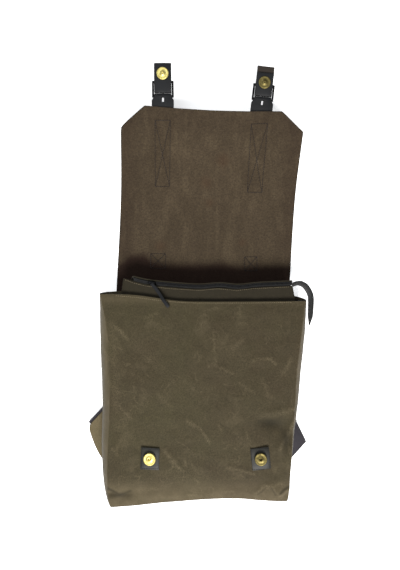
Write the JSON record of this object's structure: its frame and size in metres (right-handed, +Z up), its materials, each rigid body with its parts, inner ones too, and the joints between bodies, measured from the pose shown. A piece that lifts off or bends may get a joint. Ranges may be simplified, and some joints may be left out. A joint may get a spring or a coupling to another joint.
{
  "type": "canvas backpack, lying open on its back",
  "caption": "Olive waxed canvas backpack lying open on its back, leather flap laid out, buckled leather straps with brass magnetic snaps and a zipped collar.",
  "frame": {"origin": "middle of the whole backpack's outline, on the surface that it lies on", "axes": "+Z up from the surface, through the back panel towards the front panel; +Y from the bag's bottom past its mouth to the flap's free end; +X across the bag"},
  "size_m": [0.35, 0.6566, 0.0842],
  "materials": {
    "canvas": "waxed",
    "lining": "matte",
    "zip": "matte",
    "suede": "matte",
    "leather": "satin",
    "webbing": "matte",
    "brass": "polished",
    "black_metal": "satin"
  },
  "bodies": {
    "root": {"body_shell": "canvas", "front_extension": "canvas", "back_extension": "canvas", "wing_left": "canvas", "wing_right": "canvas", "lining": "lining", "zip_chain": "zip", "zip_tape_front": "zip", "zip_tape_back": "zip", "zip_tail": "zip", "flap": "suede", "grab_handle": "leather", "zip_pull": "leather", "flap_strap_left": "leather", "flap_strap_right": "leather", "snap_strap_left": "leather", "snap_strap_right": "leather", "snap_tab_left": "leather", "snap_tab_right": "leather", "snap_patch_left": "leather", "snap_patch_right": "leather", "shoulder_strap_left": "webbing", "shoulder_strap_right": "webbing", "snap_stud_left": "brass", "snap_stud_right": "brass", "snap_socket_left": "brass", "snap_socket_right": "brass", "zip_slider": "black_metal", "buckle_frame_left": "black_metal", "buckle_frame_right": "black_metal", "buckle_prong_left": "black_metal", "buckle_prong_right": "black_metal"}
  },
  "joints": []
}
